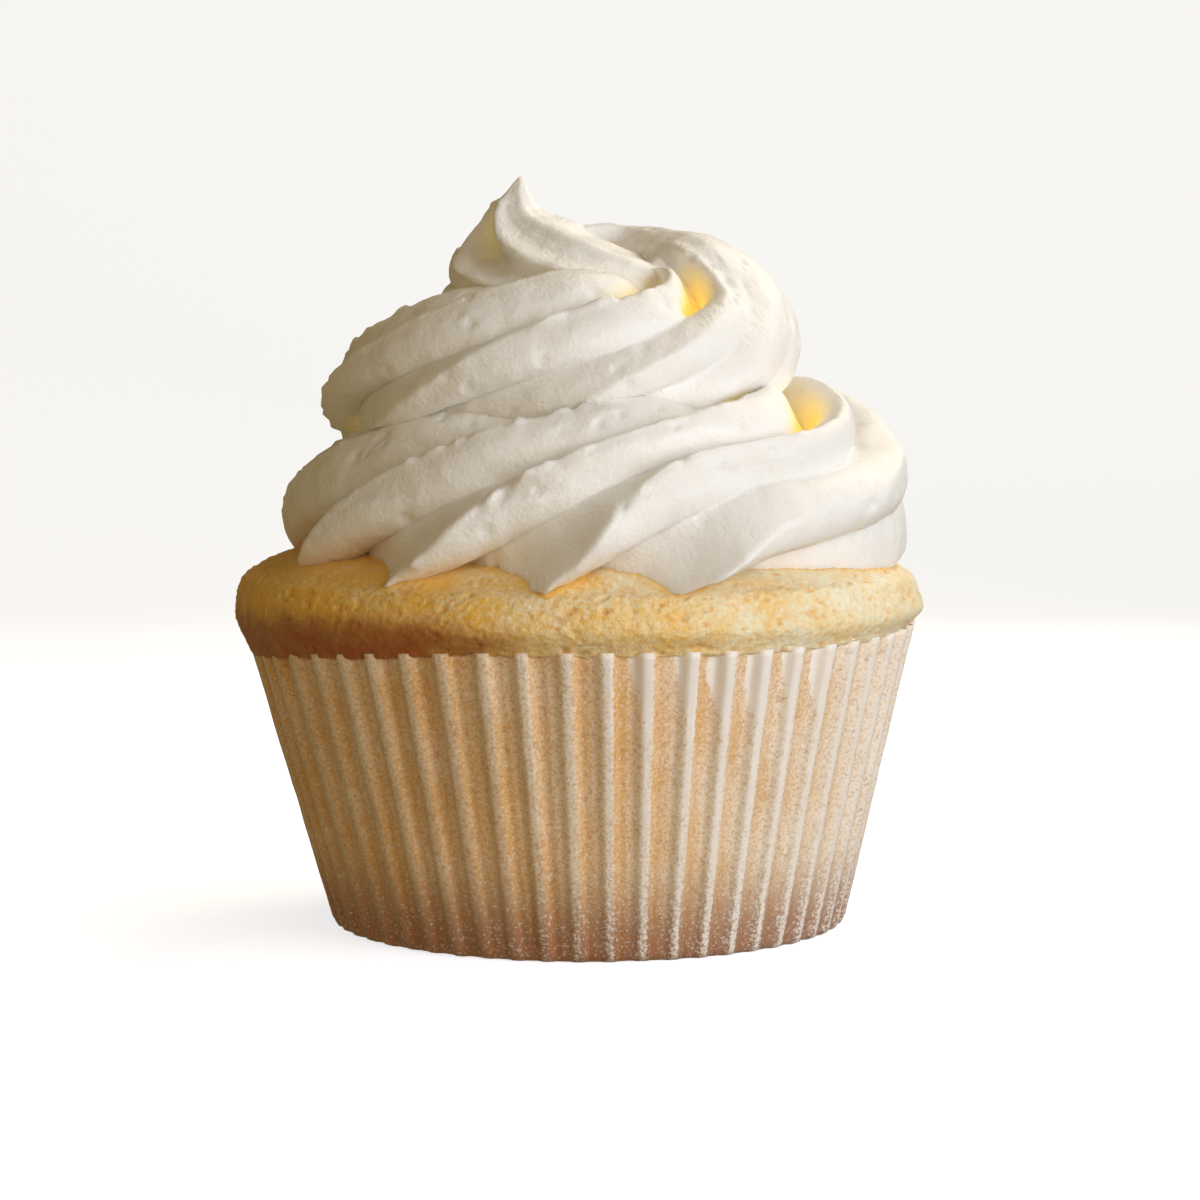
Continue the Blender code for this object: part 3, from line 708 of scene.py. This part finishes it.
def makeCake(frosted):
    c = cake
    p = paperCase
    angle = turn * np.arange(c["columns"]) / c["columns"]
    rim = rimHeight(angle)
    swell = c["uneven"] * sum(size * np.sin(count * angle + start) for count, start, size in c["waves"])
    inner = p["depthAtRim"] + c["inset"]

    def ring(radius, height):
        x = p["lean"] * height / p["height"] + radius * np.cos(angle)
        return np.stack([x, radius * np.sin(angle), height + 0 * angle], axis=-1)

    rows = [ring(share * (p["baseRadius"] - inner), c["bottom"]) for share in c["bottomRings"]]
    for share in c["sideRings"]:
        height = share * rim
        rows.append(ring(p["baseRadius"] + p["flare"] * height - inner, height))
    # the crust's outline, one value for each control ring, then a smooth curve through them
    control = [(c["lipRadius"] - c["lipInset"] + 0 * angle, rim - 0.25), (c["lipRadius"] + 0 * angle, rim + 0.05)]
    for radius, height, rise, uneven, sink in c["crust"]:
        control.append((radius + uneven * swell, height + rise * (rim - p["height"]) - sink * frontDip(angle)))
    radii = np.array([r for r, _ in control])
    heights = np.array([h for _, h in control])
    brownedAndShaded = [0 * angle for _ in rows]
    rings = np.arange(len(control))
    # painted shade: 1 on the side away from the key lamp
    awayFromLamp = 0.5 - 0.5 * np.cos(angle - math.radians(c["shadeBrownSide"] - 180))
    fadeFrom, fadeTo, further = c["edgeReach"]
    allRound, more = c["edgeBrownAndShade"]
    for step in np.linspace(0, c["smoothRings"], c["crustRows"]):
        radius = smoothCurve(step, rings, radii)
        height = smoothCurve(step, rings, heights)
        rows.append(ring(radius, height))
        edge = 1 - smoothStep(fadeFrom, fadeTo + further * awayFromLamp, height - rim)
        alongEdge = allRound + more * smoothStep(0.3, 0.62, awayFromLamp)
        brownedAndShaded.append(edge * alongEdge + c["topPaintedShade"] * (1 - edge) * awayFromLamp ** 3)
    for k in range(c["smoothRings"] + 1, len(control)):
        rows.append(ring(radii[k], heights[k]))
        brownedAndShaded.append(0 * angle)
    rows.append(ring(0.0, c["top"]))
    brownedAndShaded.append(0 * angle)
    # painted light: 0 on the side facing the key lamp, most on the side away from it
    paintedSideLight = np.tile(c["shadedSideGold"] * (0.5 - 0.5 * np.cos(angle - c["litSide"])), (len(rows), 1))
    facts = {"brownedAndShaded": np.array(brownedAndShaded), "soakAndShade": np.zeros(paintedSideLight.shape), "paintedSideLight": paintedSideLight}
    sponge = wrapSheet("sponge_baked", np.array(rows), facts)
    for relief in ("swell", "crumb", "pore"):
        roughen(sponge, *c[relief])
    pressPits(sponge, c["pits"])
    soakAndShadeUnder(sponge, frosted)
    dress(sponge, "cake", spongeMaterial())
    print("cake", len(sponge.data.polygons))
    return sponge


frosting = {
    "tipPoints": 6,
    "pointsPerBand": 24,
    "spacing": 0.3,                 # mm between sections along the rope
    "parting": 0.78,                # turn where the lower coil hands over to the upper one
    # turn, reach from the axis, height, half width, half height, roll in degrees, lean of the
    # section, groove depth, how wide the grooves gape
    "rope": [
        (-0.62, 21.5, 38.0, 1.5, 1.2, -565, 0.00, 0.05, 0.5),
        (-0.56, 21.5, 38.2, 4.5, 3.2, -529, 0.00, 0.08, 0.5),
        (-0.46, 21.8, 38.6, 6.6, 4.6, -469, 0.00, 0.12, 0.5),
        (-0.25, 22.5, 40.0, 8.4, 5.8, -343, 0.00, 0.30, 0.5),
        (0.00, 22.4, 42.0, 9.5, 7.2, -179, 0.22, 0.40, 0.2),
        (0.25, 22.0, 43.4, 9.1, 8.6, -43, 0.18, 0.38, 0.0),
        (0.35, 22.2, 43.9, 8.9, 8.7, 17, 0.22, 0.42, 0.4),
        (0.42, 22.3, 44.4, 8.7, 9.1, 59, 0.26, 0.50, 1.0),
        (0.50, 22.4, 45.0, 8.6, 9.4, 107, 0.30, 0.50, 1.0),
        (0.75, 20.2, 49.0, 8.8, 7.8, 235, 0.35, 0.42, 0.8),
        (1.00, 16.2, 53.9, 7.7, 6.3, 336, 0.40, 0.38, 0.3),
        (1.12, 15.9, 55.1, 7.8, 7.4, 386, 0.40, 0.38, 0.1),
        (1.25, 15.4, 56.6, 7.8, 7.5, 440, 0.40, 0.38, 0.0),
        (1.33, 15.2, 56.9, 7.6, 7.3, 480, 0.40, 0.44, 0.7),
        (1.40, 15.0, 57.5, 7.5, 7.4, 530, 0.40, 0.50, 1.0),
        (1.50, 14.8, 60.7, 7.5, 7.6, 595, 0.38, 0.34, 0.4),
        (1.75, 10.0, 63.3, 7.0, 6.8, 665, 0.30, 0.40, 0.8),
        (1.87, 8.0, 63.5, 6.2, 6.2, 700, 0.20, 0.30, 0.6),
        (2.00, 6.0, 61.5, 4.5, 4.5, 740, 0.00, 0.20, 0.5),
    ],
    "axis": [(-0.62, 0.65), (0.6, 0.65), (1.0, -2.2), (1.5, -2.0), (1.8, -3.0), (2.0, -3.6)],
    # turn, how far the creases of the outer side are smoothed away, up to which place in degrees
    "softOuter": [(-0.62, 0.0, 10), (-0.1, 0.0, 10), (0.12, 0.45, 10), (0.32, 0.45, 10), (0.40, 0.55, 10),
                  (0.5, 0.6, 10), (0.62, 0.3, 10), (0.9, 0.0, 10), (1.1, 0.1, 10), (1.35, 0.60, 38),
                  (1.42, 0.85, 48), (1.5, 0.93, 100), (1.62, 0.8, 115), (1.8, 0.2, 40), (2.0, 0.0, 10)],
    # turn, degrees that the bands are dragged on along the crust at the foot of the rope
    "drag": [(-0.62, 0), (0.10, 0), (0.18, 16), (0.25, 36), (0.34, 42), (0.38, 28), (0.49, -12), (0.60, 0), (2.0, 0)],
    # pockets where a groove opens: turn, degrees round the rope, extra depth, length in turns, width
    "pockets": [(1.385, 70, 0.60, 0.065, 38), (0.43, 80, 0.40, 0.045, 30)],
    "grooveStart": -0.135,          # turn from the roll's zero to the first groove
    "crestLow": 0.45,               # place of the sharp edge in a band under the rope
    "crestHigh": 0.85,              # and near its top, where each band is pressed down
    "crestOpen": 0.60,              # and where the grooves gape
    "crestClimb": (-60, 25),        # degrees round the section over which the edge moves up
    "crestInside": (100, 160),      # and over which it moves back on the hidden side
    "crestWidth": 0.06,             # width of the raised edge, as a share of a band
    "bandCurve": 0.46,              # share of half a sine wave that swells from groove to edge
    "bandFullness": 0.85,           # under 1: the band is fuller near the groove
    "bandFall": 0.9,
    "outerSide": (-120, -60),       # degrees over which the smoothing of the outer side sets in
    "innerSide": (85, 125),         # and that of the inner side
    # cap drawn up into the peak: height, radius, sideways place, turn of its ridges, groove depth
    "cap": [
        (54.0, 12.0, -2.2, 350, 0.20),
        (58.0, 12.6, -2.2, 330, 0.25),
        (62.0, 12.6, -2.2, 300, 0.32),
        (64.0, 12.2, -2.4, 275, 0.36),
        (65.0, 11.2, -3.0, 262, 0.38),
        (66.0, 9.8, -3.8, 252, 0.50),
        (67.0, 8.2, -4.7, 245, 0.54),
        (68.0, 6.5, -5.7, 241, 0.56),
        (69.0, 4.8, -6.6, 238, 0.56),
        (70.0, 3.3, -7.3, 235, 0.52),
        (71.0, 2.4, -7.4, 230, 0.36),
        (frostingTop - 1.681, 1.45, -7.1, 222, 0.25),
        (frostingTop - 0.581, 0.75, -6.9, 214, 0.15),
        (frostingTop + 0.219, 0.15, -6.8, 208, 0.0),
    ],
    "capRows": 190,
    "capPointsPerBand": 36,
    "capSmoothSide": -35,           # degrees, the side where the ridges melt together
    "capFade": 0.78,
    "capSharpness": 1.8,
    "capGlow": 0.8,                 # how strongly the painted glow is laid into its hollows
    "shoulder": (69.6, 0.9, 1.9, 5),    # height, spread, reach and side of the step down from the peak
    "fin": (71.4, 0.3, 0.45, 190),      # the same for the small torn fin beside the tip
    "coreSides": 96,
    # plain core inside the coil: height, radius, sideways place
    "core": [(34.6, 22.0, 0.65), (46.0, 21.5, 0.2), (50.5, 21.4, -0.9), (53.0, 18.5, -1.5), (56.0, 14.5, -2.2),
             (60.0, 13.0, -2.2), (63.5, 5.0, -4.5)],
    "edge": 0.03,                   # raised edge along each band, as a share of the rope's size
    "tearHeight": 0.060,            # torn edges, as a share of the rope's size
    "tearLength": 0.7,              # mm
    "patchLength": 11.0,            # mm between torn stretches
    "calmSide": (0.3, 0.7),         # cosine of the angle over which the right side comes out smooth
    "wobble": 0.03,                 # how far the sharp edge wanders in its band
    "wobbleLength": 7.0,            # mm
    "pocketGlow": (1.5, 1.7, 1.1),  # how strongly the painted glow is laid into the pockets, and how far past them along and round
    "lip": 4.2,                     # mm that a band spreads where it meets the crust
    "lipDrop": 1.5,                 # mm that it sags there
    "lipPlace": (305, 38),          # degrees round the section, and spread
    "lipEnd": (0.55, 0.75),         # turns over which the rope leaves the crust
    "lipSide": -1.85,               # radians, the side where it spreads most
    "sunk": 0.4,                    # mm that the foot of the rope sinks in the crust
    "swell": (5.0, 0.55),           # size and height of the relief in mm
    "melt": (1.5, 0.20),            # the same for the small dents of the coils,
    "capMelt": (1.5, 0.06),         # those of the peak
    "coreSwell": (4.0, 0.5),        # and the core
    "corePaintedGlow": 0.45,               # how strongly the painted glow is laid on the core, which shows in the deepest folds
    "lowerPits": {"count": 520, "size": (0.35, 0.85), "depth": (0.20, 0.50),
                  "stretch": 1.9, "upright": 0.6, "seed": 11},
    "upperPits": {"count": 300, "size": (0.32, 0.72), "depth": (0.16, 0.38),
                  "stretch": 1.9, "upright": 0.6, "seed": 12},
    "capPits": {"count": 20, "size": (0.30, 0.55), "depth": (0.12, 0.25),
                "stretch": 1.6, "upright": 0.6, "seed": 13},
}


def bandShape(place, around, groove, gape, soft, softUpTo, opened, wander):
    # radius over one band of the star, how far down its groove a point lies and how near its edge
    f = frosting
    degrees = (np.degrees(around) + 180) % 360 - 180
    climb = smoothStep(*f["crestClimb"], degrees)
    inner, hidden = f["crestInside"]
    inside = np.clip((np.abs(degrees) - inner) / (hidden - inner), 0, 1)
    crest = f["crestLow"] + (f["crestHigh"] - f["crestLow"]) * climb * (1 - inside)
    crest = crest + gape * (f["crestOpen"] - crest) + wander
    swell = f["bandCurve"] * math.pi
    rise = (np.sin(swell * np.clip(place / crest, 0, 1)) / math.sin(swell)) ** f["bandFullness"]
    fall = np.clip((1 - place) / (1 - crest), 0, 1) ** f["bandFall"]
    height = np.where(place < crest, rise, fall)
    height = height + 0.9 * opened * (np.sin(math.pi * place) ** 1.3 - height)
    nearCrest = np.exp(-((place - crest) / f["crestWidth"]) ** 2)
    outer = smoothStep(*f["outerSide"], degrees) * (1 - smoothStep(-15, 15, degrees - softUpTo))
    inner = smoothStep(*f["innerSide"], degrees) * soft * 0.9
    groove = groove * (1 - soft * outer) * (1 - inner)
    return 1 - groove * (1 - height), 1 - height, nearCrest


def ropePoints(first, last):
    f = frosting
    turns = np.linspace(first, last, 2000)
    reach = curveThrough(turns, f["rope"], 1)
    climb = np.diff(curveThrough(turns, f["rope"], 2))
    length = np.concatenate([[0], np.cumsum(np.hypot(np.diff(turns) * turn * reach[1:], climb))])
    arc = np.linspace(0, length[-1], int(length[-1] / f["spacing"]))
    turns = np.interp(arc, length, turns)
    arc = arc + 500 * first                        # far apart on the two coils, so that they tear differently
    reach, height, halfWidth, halfHeight, roll, lean, groove, gape = [
        curveThrough(turns, f["rope"], column)[:, None] for column in range(1, 9)]
    angle = (math.pi + turn * turns)[:, None]
    axis = curveThrough(turns, f["axis"], 1)[:, None]
    centre = np.hstack([axis + reach * np.cos(angle), reach * np.sin(angle), height])
    along = np.gradient(centre, turns, axis=0)
    along /= np.linalg.norm(along, axis=1)[:, None]
    outward = np.hstack([np.cos(angle), np.sin(angle), 0 * angle])
    outward -= (outward * along).sum(axis=1)[:, None] * along
    outward /= np.linalg.norm(outward, axis=1)[:, None]
    upward = np.cross(outward, along)
    point = np.arange(f["tipPoints"] * f["pointsPerBand"]) / f["pointsPerBand"]
    band = np.floor(point).astype(int)
    around = turn * (roll / 360 + f["grooveStart"] + point[None] / f["tipPoints"])
    side = (np.degrees(around) + 110) % 360 - 110
    foot = (1 - smoothStep(-50, 70, side)) + smoothStep(150, 250, side)
    around = around + np.radians(curveThrough(turns, f["drag"], 1))[:, None] * foot
    bands = range(f["tipPoints"])
    wander = f["wobble"] * np.stack([waver(arc, f["wobbleLength"], 20 + k) for k in bands], axis=1)[:, band]
    soft, softUpTo = [curveThrough(turns, f["softOuter"], column)[:, None] for column in (1, 2)]
    degrees = np.degrees(around) % 360
    opened = 0
    lit = 0
    glow, glowAlong, glowRound = f["pocketGlow"]
    for pocketTurn, pocketPlace, depth, length, width in f["pockets"]:
        farAlong, farRound = (turns[:, None] - pocketTurn) / length, (degrees - pocketPlace) / width
        window = np.exp(-farAlong ** 2 - farRound ** 2)
        groove = groove + depth * window
        opened = np.minimum(opened + window, 1)
        lit = np.minimum(lit + np.exp(-(farAlong / glowAlong) ** 2 - (farRound / glowRound) ** 2), 1)
    star, hollowed, nearCrest = bandShape((point % 1)[None], around, groove, gape, soft, softUpTo, opened, wander)
    # painted glow: the deeper the groove near a pocket, the more it glows
    paintedGlow = np.clip(glow * (1 - star), 0, 1) * lit
    teeth = np.stack([waver(arc, f["tearLength"], 40 + k) for k in bands], axis=1)[:, band]
    patch = np.stack([waver(arc, f["patchLength"], 60 + k) for k in bands], axis=1)[:, band]
    torn = f["edge"] + f["tearHeight"] * teeth * smoothStep(-0.2, 0.4, patch)
    calm = 1 - smoothStep(*f["calmSide"], np.cos(angle))
    star = star + torn * nearCrest * np.clip(groove / 0.4, 0, 1) * (1 - opened) * calm
    above = halfHeight * np.sin(around) * star
    across = halfWidth * np.cos(around) * star - lean * above
    # where a band comes down on the crust its edge is squeezed out as a lip
    lipPlace, lipSpread = f["lipPlace"]
    low = np.exp(-((degrees - lipPlace) / lipSpread) ** 2) * (1 - smoothStep(*f["lipEnd"], turns))[:, None]
    above = above - f["lipDrop"] * low * (1 - hollowed)
    across = across + f["lip"] * low * smoothStep(0.45, 0.85, np.cos(angle - f["lipSide"])) * (1 - hollowed) ** 2.5
    points = centre[:, None] + across[..., None] * outward[:, None] + above[..., None] * upward[:, None]
    points[..., 2] = np.maximum(points[..., 2], domeHeight(points[..., 0], points[..., 1]) - f["sunk"])
    points = np.concatenate([collapsed(points[0])[None], points, collapsed(points[-1])[None]])
    return points, np.concatenate([paintedGlow[:1], paintedGlow, paintedGlow[-1:]])


def capPoints():
    f = frosting
    step = np.linspace(0, len(f["cap"]) - 1, f["capRows"])
    rows = [(k, *row) for k, row in enumerate(f["cap"])]
    height, radius, centre, wind, groove = [curveThrough(step, rows, c)[:, None] for c in range(1, 6)]
    columns = f["tipPoints"] * f["capPointsPerBand"]
    point = np.arange(columns)[None] / columns
    around = np.radians(wind) + turn * point
    fade = 1 - f["capFade"] * (0.5 + 0.5 * np.cos(around - math.radians(f["capSmoothSide"])))
    crest = (0.5 + 0.5 * np.cos(turn * f["tipPoints"] * point)) ** f["capSharpness"]
    reach = radius * (1 - groove * fade * (1 - crest))
    for level, spread, out, side in (f["shoulder"], f["fin"]):
        facing = np.clip(np.cos(around - math.radians(side)), 0, 1) ** 3
        reach = reach + out * np.exp(-((height - level) / spread) ** 2) * facing
    x = centre + reach * np.cos(around)
    y = reach * np.sin(around)
    points = np.stack([x, y, np.broadcast_to(height, x.shape)], axis=-1)
    points = np.concatenate([collapsed(points[0])[None], points, collapsed(points[-1])[None]])
    # painted glow: yellow and emission in the cap's grooves, by their depth
    paintedGlow = np.broadcast_to(groove * f["capGlow"], x.shape) * (1 - crest) * fade ** 3
    return points, np.concatenate([paintedGlow[:1], paintedGlow, paintedGlow[-1:]])


def corePoints():
    sides = frosting["coreSides"]
    angle = turn * np.arange(sides) / sides
    rings = []
    for height, radius, centre in frosting["core"]:
        x = centre + radius * np.cos(angle)
        rings.append(np.stack([x, radius * np.sin(angle), height + 0 * angle], axis=-1))
    rings = np.array(rings)
    return np.concatenate([collapsed(rings[0])[None], rings, collapsed(rings[-1])[None]])


def makeFrosting():
    f = frosting
    butter = butterMaterial()
    made = []
    first, last = f["rope"][0][0], f["rope"][-1][0]
    pieces = [
        ("buttercream_lower_coil", ropePoints(first, f["parting"]), f["melt"], f["lowerPits"]),
        ("buttercream_upper_coil", ropePoints(f["parting"], last), f["melt"], f["upperPits"]),
        ("buttercream_peak", capPoints(), f["capMelt"], f["capPits"]),
    ]
    for name, (points, paintedGlow), melt, pits in pieces:
        piece = wrapSheet(name, points, {"paintedGlow": np.clip(paintedGlow, 0, 1)})
        roughen(piece, *f["swell"])
        roughen(piece, *melt)
        pressPits(piece, pits)
        dress(piece, "frosting", butter)
        made.append(piece)
        print(name, len(piece.data.polygons))
    rings = corePoints()
    core = wrapSheet("buttercream_core", rings, {"paintedGlow": np.full(rings.shape[:2], f["corePaintedGlow"])})
    roughen(core, *f["coreSwell"])
    dress(core, "frosting", butter)
    return made


setStudio()
makePaperCase()
makeCake(makeFrosting())
